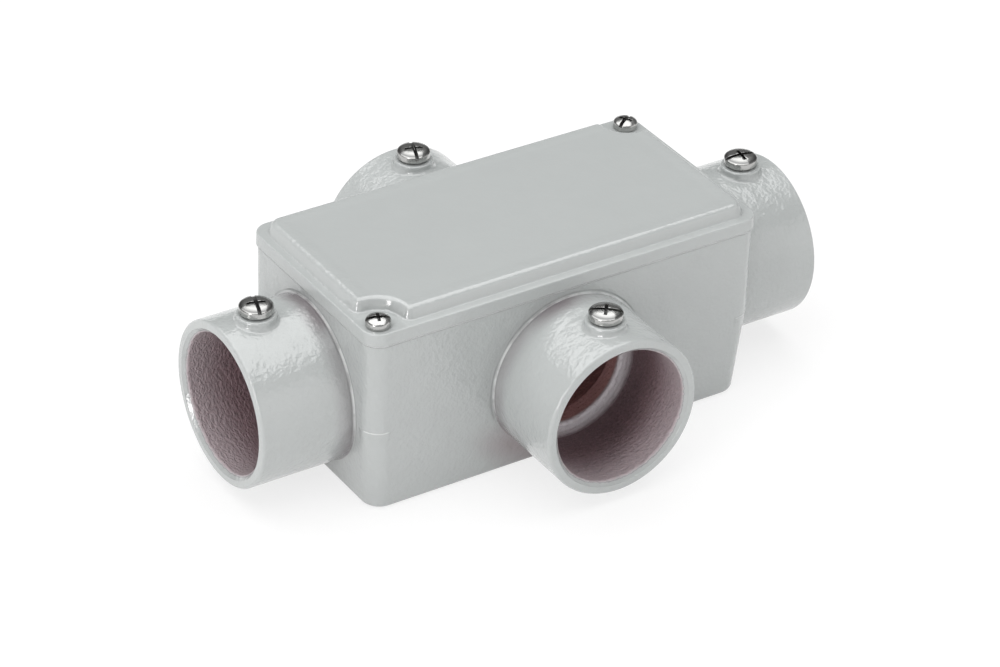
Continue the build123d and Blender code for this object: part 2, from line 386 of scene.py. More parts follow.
# %% Four bores
LIP_R = SOCKET_R + SOCKET_CHAMFER - 0.05
LIP_DEPTH = 0.12
STEP_R = LIP_R + 0.04
BORE_ROUNDING = {2: 0.9, 3: 0.5, 4: 0.25}
SET_HOLE_R = 2.05
POST_HOLE_R = 1.55
POST_HOLE_BOTTOM = 35.5
for side, (direction, mouth, wall) in SIDES.items():
    shoulder = mouth - SOCKET_DEPTH
    profile = [
        (0, wall - 6),
        (THROAT_R, wall - 6),
        (THROAT_R, shoulder),
        (SOCKET_R, shoulder),
        (SOCKET_R, mouth - SOCKET_CHAMFER),
        (LIP_R, mouth - LIP_DEPTH),
        (STEP_R, mouth),
        (STEP_R, mouth + 2),
        (0, mouth + 2),
    ]
    bm = turned(profile, BORE_ROUNDING, HUB_SEGMENTS)
    combine(casting, solid(lay_along(bm, direction), "bore_" + side), "DIFFERENCE")
for side in SIDES:
    x, y = screw_place(SCREW_NODES[side])
    hole = rod(x, y, HUB_AXIS_Z, BODY_TOP + 4, SET_HOLE_R, 48)
    combine(casting, solid(hole, "set_screw_hole"), "DIFFERENCE")
for x, y in cover_screws:
    hole = rod(x, y, POST_HOLE_BOTTOM, BODY_TOP + 4, POST_HOLE_R, 40)
    combine(casting, solid(hole, "post_hole"), "DIFFERENCE")
print("with bores:", len(casting.data.polygons), "faces")

# %% [markdown]
# ## Finishing a piece
#
# Every finished piece is shrunk to metres, shaded smooth except at its sharp edges, given the material
# of its slot in the record and made to ride on its CAD body. A Weighted Normal modifier keeps the
# flat walls flat between their round edges, which a glossy coat would otherwise show as waves.


# %% Finish and place
def finish_piece(piece, body, node, material, sharp=38):
    """Shrinks to metres, shades, gives the piece its material, hides its CAD node and ties it to its body.
    """
    def to_metres(bm):
        bmesh.ops.remove_doubles(bm, verts=bm.verts, dist=2e-4)
        bmesh.ops.scale(bm, vec=(MM, MM, MM), verts=bm.verts)
    reshape(piece, to_metres)
    piece.data.shade_smooth()
    piece.data.set_sharp_from_angle(angle=math.radians(sharp))
    weights = piece.modifiers.new("flat_faces_stay_flat", "WEIGHTED_NORMAL")
    weights.keep_sharp = True
    weights.weight = 100
    piece.data.materials.clear()
    piece.data.materials.append(material)
    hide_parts(node)
    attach(piece, body)
    print(piece.name, len(piece.data.polygons), "faces on", body)
    return piece


# %% [markdown]
# ## Nodes
#
# Every finish here is procedural: noise on the object's own coordinates, so nothing has to be
# unwrapped and a scratch or a dimple has a real size. Small helpers keep the node work short. One adds
# a node and fills its inputs, and most others give the result of one such node. A ramp is the most
# used of them. Its numbers have a name wherever it is used: the two values between which it changes,
# on the castings mostly places in millimetres, and then the share at each of them, which is 0 and 1
# where none is given.

# %% Node helpers
def add(tree, kind, inputs=None, **settings):
    """Adds a node. Each input is a plain value or the socket that feeds it."""
    made = tree.nodes.new(kind)
    for name, value in settings.items():
        setattr(made, name, value)
    for key, value in (inputs or {}).items():
        if isinstance(value, bpy.types.NodeSocket):
            tree.links.new(value, made.inputs[key])
        else:
            made.inputs[key].default_value = value
    return made


def calc(tree, operation, *inputs):
    """The result of one Math node."""
    return add(tree, "ShaderNodeMath", dict(enumerate(inputs)), operation=operation).outputs[0]


def times(tree, product, *factors):
    """The product of two or more values."""
    for factor in factors:
        product = calc(tree, "MULTIPLY", product, factor)
    return product


def parts_of(tree, vector):
    """The X, Y and Z of a vector."""
    return add(tree, "ShaderNodeSeparateXYZ", {0: vector}).outputs[:]


def from_middle_plane(tree, place):
    """How far a place lies from the origin along X, Y and Z, to either side."""
    positive = add(tree, "ShaderNodeVectorMath", {0: place}, operation="ABSOLUTE").outputs[0]
    return parts_of(tree, positive)


def ramp(tree, value, low, high, start=0.0, end=1.0):
    """Goes smoothly from start to end while the value goes from low to high."""
    made = add(tree, "ShaderNodeMapRange", {0: value, 1: low, 2: high, 3: start, 4: end},
               interpolation_type="SMOOTHSTEP")
    return made.outputs[0]


def noise(tree, place, size, detail=2.0, roughness=0.5):
    """Noise whose lumps are about one size across, in millimetres."""
    made = add(tree, "ShaderNodeTexNoise", {"Vector": place, "Scale": 1 / size, "Detail": detail,
                                            "Roughness": roughness})
    return made.outputs[0]


def blend(tree, share, one, two):
    """Mixes two numbers."""
    return add(tree, "ShaderNodeMix", {0: share, 2: one, 3: two}).outputs[0]


def blend_colors(tree, share, one, two):
    """Mixes two colours."""
    made = add(tree, "ShaderNodeMix", {0: share, 6: one, 7: two}, data_type="RGBA")
    return made.outputs[2]


# %% Groups and materials
def new_group(name, inputs, outputs):
    """An empty node group with named sockets, and its two end nodes."""
    group = bpy.data.node_groups.new(name, "ShaderNodeTree")
    for label, (kind, value) in inputs.items():
        socket = group.interface.new_socket(name=label, in_out="INPUT", socket_type=kind)
        if value is not None:
            socket.default_value = value
    for label, kind in outputs.items():
        group.interface.new_socket(name=label, in_out="OUTPUT", socket_type=kind)
    return group, group.nodes.new("NodeGroupInput"), group.nodes.new("NodeGroupOutput")


def new_material(name, color, roughness, metallic=0.0):
    """A material with its shader's plain values, and the object's place in millimetres."""
    material = bpy.data.materials.new(name)
    material.use_nodes = True
    tree = material.node_tree
    shader = tree.nodes["Principled BSDF"]
    shader.inputs["Base Color"].default_value = (*color, 1)
    shader.inputs["Roughness"].default_value = roughness
    shader.inputs["Metallic"].default_value = metallic
    place = add(tree, "ShaderNodeTexCoord").outputs["Object"]
    place = add(tree, "ShaderNodeVectorMath", {0: place, 1: (1 / MM, 1 / MM, 1 / MM)},
                operation="MULTIPLY").outputs[0]
    return material, shader, place


def place_group(tree, group, place, **values):
    """Puts a group into a material, at the object's place and with its own values."""
    inputs = {name.replace("_", " "): value for name, value in values.items()}
    return add(tree, "ShaderNodeGroup", {"Place": place, **inputs}, node_tree=group)


def dress(tree, shader, color, roughness, height, distance):
    """Wires a colour, a roughness and a bump of some height into the shader."""
    bump = add(tree, "ShaderNodeBump", {"Height": height, "Strength": 1.0, "Distance": distance})
    tree.links.new(color, shader.inputs["Base Color"])
    tree.links.new(roughness, shader.inputs["Roughness"])
    tree.links.new(bump.outputs["Normal"], shader.inputs["Normal"])


# %% [markdown]
# ## An uneven finish
#
# No real surface has one colour and one gloss. A slow noise changes the colour a little and a finer
# one changes the roughness. The coat, the plating and the seal all use this group with their own
# sizes and amounts.

# %% Group: uneven finish
FLOAT, VECTOR, COLOR = "NodeSocketFloat", "NodeSocketVector", "NodeSocketColor"
uneven, start, end = new_group(
    "uneven_finish",
    {"Place": (VECTOR, None), "Color": (COLOR, (0.5, 0.5, 0.5, 1)), "Size": (FLOAT, 8.0),
     "Color Change": (FLOAT, 0.05), "Roughness": (FLOAT, 0.3), "Roughness Change": (FLOAT, 0.1)},
    {"Color": COLOR, "Roughness": FLOAT})
FINER = 3.3
scale = calc(uneven, "DIVIDE", 1.0, start.outputs["Size"])
slow = add(uneven, "ShaderNodeTexNoise", {
    "Vector": start.outputs["Place"], "Scale": scale, "Detail": 3.0})
fine = add(uneven, "ShaderNodeTexNoise", {
    "Vector": start.outputs["Place"], "Scale": times(uneven, scale, FINER), "Detail": 2.0})
lighter = calc(uneven, "SUBTRACT", slow.outputs[0], 0.5)
lighter = calc(uneven, "MULTIPLY_ADD", lighter, start.outputs["Color Change"], 1.0)
tinted = add(uneven, "ShaderNodeVectorMath", {0: start.outputs["Color"], "Scale": lighter},
             operation="SCALE")
rougher = calc(uneven, "SUBTRACT", fine.outputs[0], 0.5)
rougher = calc(uneven, "MULTIPLY_ADD", rougher, start.outputs["Roughness Change"],
               start.outputs["Roughness"])
uneven.links.new(tinted.outputs[0], end.inputs["Color"])
uneven.links.new(rougher, end.inputs["Roughness"])
print("group", uneven.name, len(uneven.nodes), "nodes")

# %% [markdown]
# ## Orange peel
#
# Powder melts on the hot part and flows together, but not quite flat. What is left are dimples about a
# millimetre across on long, low waves, best seen in the highlights on the hubs. The same group with
# smaller lumps and less height gives the plating and the seal their faint grain.

# %% Group: orange peel
peel, start, end = new_group(
    "orange_peel",
    {"Place": (VECTOR, None), "Dimple": (FLOAT, 1.0), "Wave": (FLOAT, 5.0),
     "Wave Height": (FLOAT, 1.5)},
    {"Height": FLOAT})
dimples = add(peel, "ShaderNodeTexNoise", {"Vector": start.outputs["Place"], "Detail": 1.5,
                                           "Scale": calc(peel, "DIVIDE", 1.0, start.outputs["Dimple"])})
waves = add(peel, "ShaderNodeTexNoise", {"Vector": start.outputs["Place"], "Detail": 1.0,
                                         "Scale": calc(peel, "DIVIDE", 1.0, start.outputs["Wave"])})
height = calc(peel, "MULTIPLY_ADD", waves.outputs[0], start.outputs["Wave Height"], dimples.outputs[0])
peel.links.new(height, end.inputs["Height"])
print("group", peel.name, len(peel.nodes), "nodes")

# %% [markdown]
# ## Where the sockets are
#
# The coat changes with the distance from a hub's axis and with the depth behind its mouth. The depth is
# the smaller one of two differences, along X and along Y, and it says which axis the radius is for. A
# third value is how far a point lies behind the face of the wall, whose lower half leans in.

# %% Group: radius and depth at a hub
hub_place, start, end = new_group("hub_place", {"Place": (VECTOR, None)},
                                  {"Radius": FLOAT, "Depth": FLOAT, "Inward": FLOAT})
from_axis_height = add(hub_place, "ShaderNodeVectorMath", {
    0: start.outputs["Place"], 1: (0, 0, HUB_AXIS_Z)}, operation="SUBTRACT").outputs[0]
radii = []
for keep in ((0, 1, 1), (1, 0, 1)):
    across = add(hub_place, "ShaderNodeVectorMath", {0: from_axis_height, 1: keep},
                 operation="MULTIPLY").outputs[0]
    length = add(hub_place, "ShaderNodeVectorMath", {0: across}, operation="LENGTH")
    radii.append(length.outputs["Value"])
out_x, out_y, height = from_middle_plane(hub_place, start.outputs["Place"])
depth_x = calc(hub_place, "SUBTRACT", MOUTH_X, out_x)
depth_y = calc(hub_place, "SUBTRACT", MOUTH_Y, out_y)
along_x = calc(hub_place, "LESS_THAN", depth_x, depth_y)
lean = calc(hub_place, "MULTIPLY_ADD", height, -DRAFT / HUB_AXIS_Z, DRAFT)
lean = calc(hub_place, "MAXIMUM", lean, 0.0)
inward = blend(hub_place, along_x, calc(hub_place, "SUBTRACT", BOX_Y, out_y),
               calc(hub_place, "SUBTRACT", BOX_X, out_x))
hub_place.links.new(blend(hub_place, along_x, radii[1], radii[0]), end.inputs["Radius"])
hub_place.links.new(calc(hub_place, "MINIMUM", depth_x, depth_y), end.inputs["Depth"])
hub_place.links.new(calc(hub_place, "SUBTRACT", inward, lean), end.inputs["Inward"])
print("group", hub_place.name, len(hub_place.nodes), "nodes")

# %% [markdown]
# ## The powder coat
#
# The coat is a light grey with a clear gloss. On the body it changes from place to place: it is darker
# in some corners, partly as thin powder and partly as painted shade, it is painted pale in its fillets
# as a highlight, it ends at the mouths of the sockets, and a seam of the mould shows through it. Each of
# these is a function of its own below. They all need to know where a point lies, so that is worked out
# once.

# %% Colours, and where a point lies
# Some of these colours paint light and shade: the dark thin and stained coats also stand for shade, the
# pale pooled coat for a highlight, the pale dusted metal for highlight and light, and the throat's metal
# is painted lighter.
COAT = (0.395, 0.413, 0.409)
THIN_COAT_AND_PAINTED_SHADE = (0.2, 0.18, 0.188)
REDDISH_PAINTED_SHADE = (0.24, 0.17, 0.18)
PALE_PAINTED_HIGHLIGHT = (0.8, 0.82, 0.815)
BARE_METAL = (0.148, 0.09, 0.1)
THROAT_METAL_PAINTED_LIGHTER = (0.52, 0.27, 0.26)
DUST_AND_PAINTED_LIGHT = (0.98, 0.95, 0.98)


def find_spot(tree, place):
    """Where a point of the body lies, at its hub and in its box, in millimetres."""
    at_hub = add(tree, "ShaderNodeGroup", {"Place": place}, node_tree=hub_place)
    spot = SimpleNamespace(place=place, radius=at_hub.outputs["Radius"],
                           depth=at_hub.outputs["Depth"], inward=at_hub.outputs["Inward"])
    spot.x, spot.y, spot.z = from_middle_plane(tree, place)
    spot.signed_x = parts_of(tree, place)[0]
    spot.x_plus_y = calc(tree, "ADD", spot.x, spot.y)
    spot.aside = calc(tree, "SUBTRACT", spot.radius, HUB_R)
    squares = calc(tree, "ADD", times(tree, spot.aside, spot.aside), times(tree, spot.inward, spot.inward))
    spot.off_foot = calc(tree, "SQRT", squares)
    spot.off_shoulder = calc(tree, "ABSOLUTE", calc(tree, "SUBTRACT", spot.depth, SOCKET_DEPTH))
    return spot


# %% [markdown]
# ## Thin powder, painted shade and a painted highlight
#
# The charged powder doesn't like to go into inner corners, so on the hubs the coat is thin next to
# their feet and the brown metal shows through a little. That darkening is also painted shade, and so
# it is strongest in the nooks under the cover's rim and near the floor, and on the left half of the
# body. Low on the long walls, beside and under the hubs, a dark reddish shade is painted. In the
# fillet itself the melted powder has run together and is smooth there, and it is painted pale as a
# highlight, most of all in the upper half.

# %% Thin powder and painted shade
NEAR_FLOOR = (26.0, 14.0, 0.5, 0.85)
NEAR_RIM = (38.0, 41.0, 0.5, 1.0)
NEAR_FOOT = (0.8, 6.0, 1.0, 0.0)
ON_HUB = (0.1, 0.35, 1.0, 0.0)
LEFT_HALF = (-3.0, 6.0, 1.0, 0.15)
THIN_AND_SHADED_PATCHES = (0.3, 0.6, 0.75, 1.0)
BESIDE_HUB = (0.3, 10.0, 0.7, 0.0)
ON_WALL = (-0.4, -0.1)
LOW_DOWN = (16.0, 5.0)
REDDISH_SHADE_TO_LEFT = (-12.0, 8.0, 1.0, 0.0)
REDDISH_SHADE_END_X = 30.0


def thin_powder_and_painted_shade(tree, spot, color):
    """Darkens the hubs at their feet as thin powder and painted shade, and paints a reddish shade low on
    the long walls.
    """
    near_rim_or_floor = calc(tree, "MAXIMUM", ramp(tree, spot.z, *NEAR_FLOOR),
                             ramp(tree, spot.z, *NEAR_RIM))
    # Painted shade, partly thin powder: the hubs are darkened at their feet, most in the nooks under the
    # rim and near the floor.
    thin_and_shaded = times(tree, ramp(tree, spot.off_foot, *NEAR_FOOT), ramp(tree, spot.aside, *ON_HUB),
                 near_rim_or_floor, ramp(tree, spot.signed_x, *LEFT_HALF),
                 ramp(tree, noise(tree, spot.place, 5.0, 1.0), *THIN_AND_SHADED_PATCHES))
    # Painted shade: a dark reddish colour low on the long walls, beside and under the hubs.
    reddish_shade = times(tree, ramp(tree, spot.aside, *BESIDE_HUB), ramp(tree, spot.inward, *ON_WALL),
                  ramp(tree, spot.z, *LOW_DOWN), ramp(tree, spot.signed_x, *REDDISH_SHADE_TO_LEFT),
                  calc(tree, "LESS_THAN", spot.x, REDDISH_SHADE_END_X))
    color = blend_colors(tree, thin_and_shaded, color, (*THIN_COAT_AND_PAINTED_SHADE, 1))
    return blend_colors(tree, reddish_shade, color, (*REDDISH_PAINTED_SHADE, 1))


# %% Pooled powder and a painted highlight
UPPER_HALF = (11.0, 24.0, 0.1, 1.0)
IN_FILLET = (0.26, 0.42, 0.55, 0.0)
ROUND_FILLET = (0.45, 0.9, 1.0, 0.0)
HIGHLIGHT_PATCHES = (0.35, 0.6, 0.4, 1.0)
POOLED_ROUGHNESS = 0.05
POOLED_FLATTENS = 0.75


def smooth_fillets_and_painted_highlight(tree, spot, color, roughness, height):
    """Makes the fillets at the hubs' feet glossy and smooth, and paints them pale as a highlight."""
    upper_half = ramp(tree, spot.z, *UPPER_HALF)
    pale = times(tree, ramp(tree, spot.off_foot, *IN_FILLET), upper_half,
                 ramp(tree, noise(tree, spot.place, 3.0), *HIGHLIGHT_PATCHES))
    smooth = times(tree, ramp(tree, spot.off_foot, *ROUND_FILLET), upper_half)
    # Painted highlight: the fillets are painted pale, as a line of light along the hubs' feet.
    color = blend_colors(tree, pale, color, (*PALE_PAINTED_HIGHLIGHT, 1))
    roughness = blend(tree, smooth, roughness, POOLED_ROUGHNESS)
    height = times(tree, height, calc(tree, "MULTIPLY_ADD", smooth, -POOLED_FLATTENS, 1.0))
    return color, roughness, height


# %% [markdown]
# ## Bare metal inside
#
# No powder reaches far into the sockets or into the chamber. The casting is bare, brown and rough
# there, with a dusting of powder on the shoulder that faces the mouth and a little behind the mouth.
# The dusting is painted near white, which also paints the shoulder's highlight and the light that
# falls in behind the mouth, and the throat is painted lighter than the bore as painted light. The coat
# ends at a ragged radius, the radius with some noise added, along a dark line of painted shade. The
# ripples that the core left run round the bore, so their noise is squeezed along its depth.

# %% Where the metal is bare
INSIDE_R = SOCKET_R + 0.25
RAGGEDNESS = 0.5
COAT_ENDS = (INSIDE_R + 0.1, INSIDE_R + 0.45, 1.0, 0.0)
INTO_WALL = 0.4


def bare_places(tree, spot):
    """The share of bare metal, and the ragged radius at which the coat ends."""
    ragged = calc(tree, "MULTIPLY_ADD", noise(tree, spot.place, 0.8, 3.0), RAGGEDNESS, spot.radius)
    in_bore = ramp(tree, ragged, *COAT_ENDS)
    in_chamber = times(
        tree,
        calc(tree, "LESS_THAN", spot.x, BOX_X - WALL + INTO_WALL),
        calc(tree, "LESS_THAN", spot.y, BOX_Y - WALL + INTO_WALL),
        calc(tree, "GREATER_THAN", spot.z, FLOOR - INTO_WALL),
        calc(tree, "LESS_THAN", spot.z, BODY_TOP - 0.1),
        calc(tree, "LESS_THAN", spot.x_plus_y, BOX_X + BOX_Y - 2 * WALL - INTO_WALL))
    return calc(tree, "MAXIMUM", in_bore, in_chamber), ragged


# %% Colour of the bare metal
PALER = 1.35
MOTTLED = (0.35, 0.65)
INTO_THROAT = (SOCKET_DEPTH, SOCKET_DEPTH + 1.5)
ON_SHOULDER = (0.3, 1.4, 1.0, 0.0)
LESS_DUST_AND_LIGHT_ABOVE = (12.0, 26.0, 1.0, 0.75)
LESS_DUST_AND_LIGHT_OUTSIDE = (THROAT_R + 1.5, THROAT_R + 2.8, 1.0, 0.45)
BEHIND_MOUTH = (0.5, 14.0, 0.22, 0.0)


def metal_color(tree, spot):
    """Mottled brown metal, redder in the throat and painted lighter there; the pale dust on the shoulder
    and behind the mouth also paints highlight and light.
    """
    metal = blend_colors(tree, ramp(tree, noise(tree, spot.place, 0.7, 2.0), *MOTTLED),
                         (*BARE_METAL, 1), (*(PALER * c for c in BARE_METAL), 1))
    # Painted light: the throat's metal is redder in tone and much lighter than the bore's.
    metal = blend_colors(tree, ramp(tree, spot.depth, *INTO_THROAT), metal, (*THROAT_METAL_PAINTED_LIGHTER, 1))
    # Dust and painted light: the pale dust is strongest at the shoulder's inner edge and low down, where
    # highlights fall, and it also lightens the bore behind the mouth as painted light.
    dust_and_painted_light = times(tree, ramp(tree, spot.off_shoulder, *ON_SHOULDER),
                 ramp(tree, spot.z, *LESS_DUST_AND_LIGHT_ABOVE), ramp(tree, spot.radius, *LESS_DUST_AND_LIGHT_OUTSIDE))
    dust_and_painted_light = calc(tree, "MAXIMUM", dust_and_painted_light, ramp(tree, spot.depth, *BEHIND_MOUTH))
    return blend_colors(tree, dust_and_painted_light, metal, (*DUST_AND_PAINTED_LIGHT, 1))


# %% Gloss and ripples of the bare metal
LINE_R = INSIDE_R + 0.4
CREVICE_SHADE_LINE = (0.0, 0.15, 0.6, 0.0)
SHOULDER_ROUGHNESS = 0.17
METAL_ROUGHNESS = 0.6
SHOULDER_TO_WALL = (0.6, 1.4, SHOULDER_ROUGHNESS, METAL_ROUGHNESS)
RIPPLE_HEIGHT = 3.2
ALONG_BORE, ROUND_BORE = 2.2, 1.3


def bare_metal(tree, spot, bare, ragged, color, roughness, height):
    """Puts the raw metal in where the coat ends, after a dark line of painted shade."""
    # Painted shade: a dark line along the ragged end of the coat, as in a crevice.
    off_line = calc(tree, "ABSOLUTE", calc(tree, "SUBTRACT", ragged, LINE_R))
    color = blend_colors(tree, ramp(tree, off_line, *CREVICE_SHADE_LINE), color, (*THIN_COAT_AND_PAINTED_SHADE, 1))
    color = blend_colors(tree, bare, color, metal_color(tree, spot))
    roughness = blend(tree, bare, roughness, ramp(tree, spot.off_shoulder, *SHOULDER_TO_WALL))
    across = calc(tree, "MINIMUM", spot.x, spot.y)
    squeezed = add(tree, "ShaderNodeCombineXYZ", {
        0: times(tree, spot.depth, ALONG_BORE), 1: times(tree, spot.z, ROUND_BORE),
        2: times(tree, across, ROUND_BORE)}).outputs[0]
    ripples = add(tree, "ShaderNodeTexNoise", {"Vector": squeezed, "Scale": 0.75, "Detail": 1.5,
                                               "Distortion": 0.5}).outputs[0]
    height = blend(tree, bare, height, times(tree, ripples, RIPPLE_HEIGHT))
    return color, roughness, height


# %% [markdown]
# ## The seam of the mould
#
# Where the two halves of the mould met, a thin fin of metal was left and filed off. On the rounded
# upright corners a small ledge still catches the light, and its top is painted pale as a highlight.

# %% A ledge at the parting line
SEAM_Z = HUB_AXIS_Z - 1.2
LEDGE_HEIGHT = 1.6
LEDGE_TOP = (0.0, 0.22, LEDGE_HEIGHT, 0.0)
LEDGE_FOOT = (-3.0, 0.0)
CORNER_START = BOX_X + BOX_Y - 1.3 * BOX_CORNER
INTO_CORNER = (0.0, 1.0)
GLINT_EDGE = (0.08, 0.25, 0.5, 0.0)
GLINT_CORNER = (0.3, 1.0)
GLINT_PATCHES = (0.35, 0.5)
BOX_ONLY = 0.2


def mould_seam(tree, spot, color, height):
    """Raises a ledge just under the seam on the box's upright corners and paints its top pale as a
    highlight.
    """
    off_seam = calc(tree, "SUBTRACT", spot.z, SEAM_Z)
    at_corner = calc(tree, "SUBTRACT", spot.x_plus_y, CORNER_START)
    on_box = times(tree, calc(tree, "LESS_THAN", spot.x, BOX_X + BOX_ONLY),
                   calc(tree, "LESS_THAN", spot.y, BOX_Y + BOX_ONLY))
    ledge = times(tree, ramp(tree, off_seam, *LEDGE_TOP), ramp(tree, off_seam, *LEDGE_FOOT),
                  ramp(tree, at_corner, *INTO_CORNER), on_box)
    # Painted highlight: the ledge's top on the corners is painted pale.
    painted_glint = times(tree, ramp(tree, calc(tree, "ABSOLUTE", off_seam), *GLINT_EDGE), on_box,
                 ramp(tree, at_corner, *GLINT_CORNER),
                 ramp(tree, noise(tree, spot.place, 2.0), *GLINT_PATCHES))
    return blend_colors(tree, painted_glint, color, (*PALE_PAINTED_HIGHLIGHT, 1)), calc(tree, "ADD", height, ledge)


# %% [markdown]
# ## Two coated castings
#
# Both castings start from the same coat. The body then gets all the steps above, and the cover only
# one: powder flows flat on its large level panel and stays wavy at its edges. The bare metal goes on
# last, so it covers what the other steps did to the coat.

# %% Material: powder coat over cast metal
COAT_ROUGHNESS = 0.1
COAT_IOR = 1.85
COAT_BUMP = 0.00013
EDGE_TO_PANEL = (5.0, 7.5, 0.5, 0.14)


def powder_coat(name, has_sockets):
    """The grey coat, and for the body also its darker corners of thin powder and painted shade, its pale
    fillets as a painted highlight, bare sockets and seam.
    """
    material, shader, place = new_material(name, COAT, COAT_ROUGHNESS)
    tree = material.node_tree
    shader.inputs["IOR"].default_value = COAT_IOR
    finish = place_group(tree, uneven, place, Size=9.0, Color=(*COAT, 1), Color_Change=0.05,
                         Roughness=COAT_ROUGHNESS, Roughness_Change=0.05)
    skin = place_group(tree, peel, place, Dimple=0.9, Wave=3.6, Wave_Height=1.6)
    color, roughness, height = finish.outputs["Color"], finish.outputs["Roughness"], skin.outputs["Height"]
    if has_sockets:
        spot = find_spot(tree, place)
        bare, ragged = bare_places(tree, spot)
        color = thin_powder_and_painted_shade(tree, spot, color)
        color, roughness, height = smooth_fillets_and_painted_highlight(tree, spot, color, roughness, height)
        color, height = mould_seam(tree, spot, color, height)
        color, roughness, height = bare_metal(tree, spot, bare, ragged, color, roughness, height)
    else:
        out_x, out_y, _ = from_middle_plane(tree, place)
        off_edge = calc(tree, "MINIMUM", calc(tree, "SUBTRACT", cover_high.x, out_x),
                        calc(tree, "SUBTRACT", cover_high.y, out_y))
        height = times(tree, height, ramp(tree, off_edge, *EDGE_TO_PANEL))
    dress(tree, shader, color, roughness, height, COAT_BUMP)
    print(name, len(tree.nodes), "nodes")
    return material


body_coat = powder_coat("grey_powder_coat_on_body", True)
cover_coat = powder_coat("grey_powder_coat_on_cover", False)
finish_piece(casting, "housing", "body", body_coat)

# %% [markdown]
# ## Plated steel and rubber
#
# The screws are bright, with their recess painted dark as shade. The seal is a light grey rubber,
# close to the colour of the coat.

# %% Materials: plated steel and seal rubber
PLATED = (0.47, 0.47, 0.46)
RECESS_PAINTED_SHADE = (0.17, 0.17, 0.168)
plated, shader, place = new_material("zinc_plated_steel", PLATED, 0.16, 1.0)
tree = plated.node_tree
finish = place_group(tree, uneven, place, Size=2.0, Color=(*PLATED, 1), Color_Change=0.15,
                     Roughness=0.17, Roughness_Change=0.12)
skin = place_group(tree, peel, place, Dimple=0.5, Wave=1.6)
painted_shade_in_recess = add(tree, "ShaderNodeAttribute", attribute_name="recess").outputs["Fac"]
# Painted shade: the points in the recess are made dark.
color = blend_colors(tree, painted_shade_in_recess, finish.outputs["Color"], (*RECESS_PAINTED_SHADE, 1))
dress(tree, shader, color, finish.outputs["Roughness"], skin.outputs["Height"], 0.00002)
print(plated.name, len(tree.nodes), "nodes")

SEAL = (0.52, 0.53, 0.53)
rubber, shader, place = new_material("seal_rubber", SEAL, 0.6)
tree = rubber.node_tree
finish = place_group(tree, uneven, place, Size=3.0, Color=(*SEAL, 1), Color_Change=0.2,
                     Roughness=0.6, Roughness_Change=0.2)
skin = place_group(tree, peel, place, Dimple=0.3, Wave=1.5)
dress(tree, shader, finish.outputs["Color"], finish.outputs["Roughness"], skin.outputs["Height"], 0.00003)
print(rubber.name, len(tree.nodes), "nodes")

# %% [markdown]
# ## The seal
#
# The seal is a flat ring with an ear round each post. Squeezed by the cover it comes out almost flush
# with the wall, so that only a faint line shows where it lies.

# %% A seal squeezed flush
SEAL_INSET = 0.04
SEAL_WIDTH = 2.5
SEAL_LOW = gasket_low.z + 0.01
SEAL_HIGH = gasket_high.z - 0.01
SEAL_HOLE_R = 1.8
bm = block(BOX_X - SEAL_INSET, BOX_Y - SEAL_INSET, SEAL_LOW, SEAL_HIGH, BOX_CORNER, segments=12)
ring = solid(bm, "seal")
bm = block(BOX_X - SEAL_WIDTH, BOX_Y - SEAL_WIDTH, SEAL_LOW - 1, SEAL_HIGH + 1, CHAMBER_CORNER)
combine(ring, leave_posts(solid(bm, "seal_window")), "DIFFERENCE")
for x, y in cover_screws:
    hole = rod(x, y, SEAL_LOW - 1, SEAL_HIGH + 1, SEAL_HOLE_R, 40)
    combine(ring, solid(hole, "seal_hole"), "DIFFERENCE")
finish_piece(ring, "housing", "gasket", rubber)

# %% [markdown]
# ## The cover
#
# The cover is a flat plate with a raised panel. A scallop at each of two opposite corners makes room
# for a screw head, and the panel turns into it over a round tip on each side. Such an outline could be
# cut with a cylinder and its sharp tips rounded after, but a wide bevel on short edges fails. So each
# arc is spun from its first point: the next arc starts where the last one ends, because their centres
# lie on one line. A half turn of the first half gives the second. Insetting the outline's face while
# lifting it makes the sloping sides all round in one step.

# %% Outline of the raised panel
COVER_LOW = cover_low.z
COVER_RIM = 46.85
COVER_TOP = cover_high.z
COVER_CORNER = 4.4
RIM_DRAFT = 0.15
RIM_TOP_R = 0.35
RIM_LOW_R = 0.25
PANEL_INSET = 1.9
PANEL_CORNER = 4.0
PANEL_EDGE = 0.9
PANEL_FOOT_R = 0.5
SIDE_ANGLE = math.radians(70)
SCALLOP_R = 5.6
PANEL_X = cover_high.x - PANEL_INSET
PANEL_Y = cover_high.y - PANEL_INSET
screw_x, screw_y = screw_place("cover_screw_rear")
TIP_R = PANEL_Y - screw_y


def arc(bm, start, centre, degrees, steps):
    """Spins a point about an upright axis and returns the edges."""
    seed = bm.verts.new((*start, COVER_RIM))
    made = bmesh.ops.spin(bm, geom=[seed], cent=(*centre, COVER_RIM), axis=(0, 0, 1),
                          angle=math.radians(degrees), steps=steps, use_merge=False)
    return made


outline = bmesh.new()
arc(outline, (-PANEL_X, PANEL_Y - PANEL_CORNER), (-PANEL_X + PANEL_CORNER, PANEL_Y - PANEL_CORNER),
    -90, 10)
arc(outline, (screw_x - SCALLOP_R - TIP_R, PANEL_Y), (screw_x - SCALLOP_R - TIP_R, screw_y), -90, 8)
arc(outline, (screw_x - SCALLOP_R, screw_y), (screw_x, screw_y), 90, 16)
arc(outline, (screw_x, screw_y - SCALLOP_R), (screw_x, screw_y - SCALLOP_R - TIP_R), -90, 8)
other = bmesh.ops.duplicate(outline, geom=outline.verts[:] + outline.edges[:])["geom"]
bmesh.ops.rotate(outline, cent=(0, 0, 0), matrix=Matrix.Rotation(math.pi, 3, "Z"),
                 verts=[v for v in other if isinstance(v, bmesh.types.BMVert)])
bmesh.ops.remove_doubles(outline, verts=outline.verts, dist=1e-3)
ends = sorted((v for v in outline.verts if len(v.link_edges) == 1),
              key=lambda v: math.atan2(v.co.y, v.co.x))
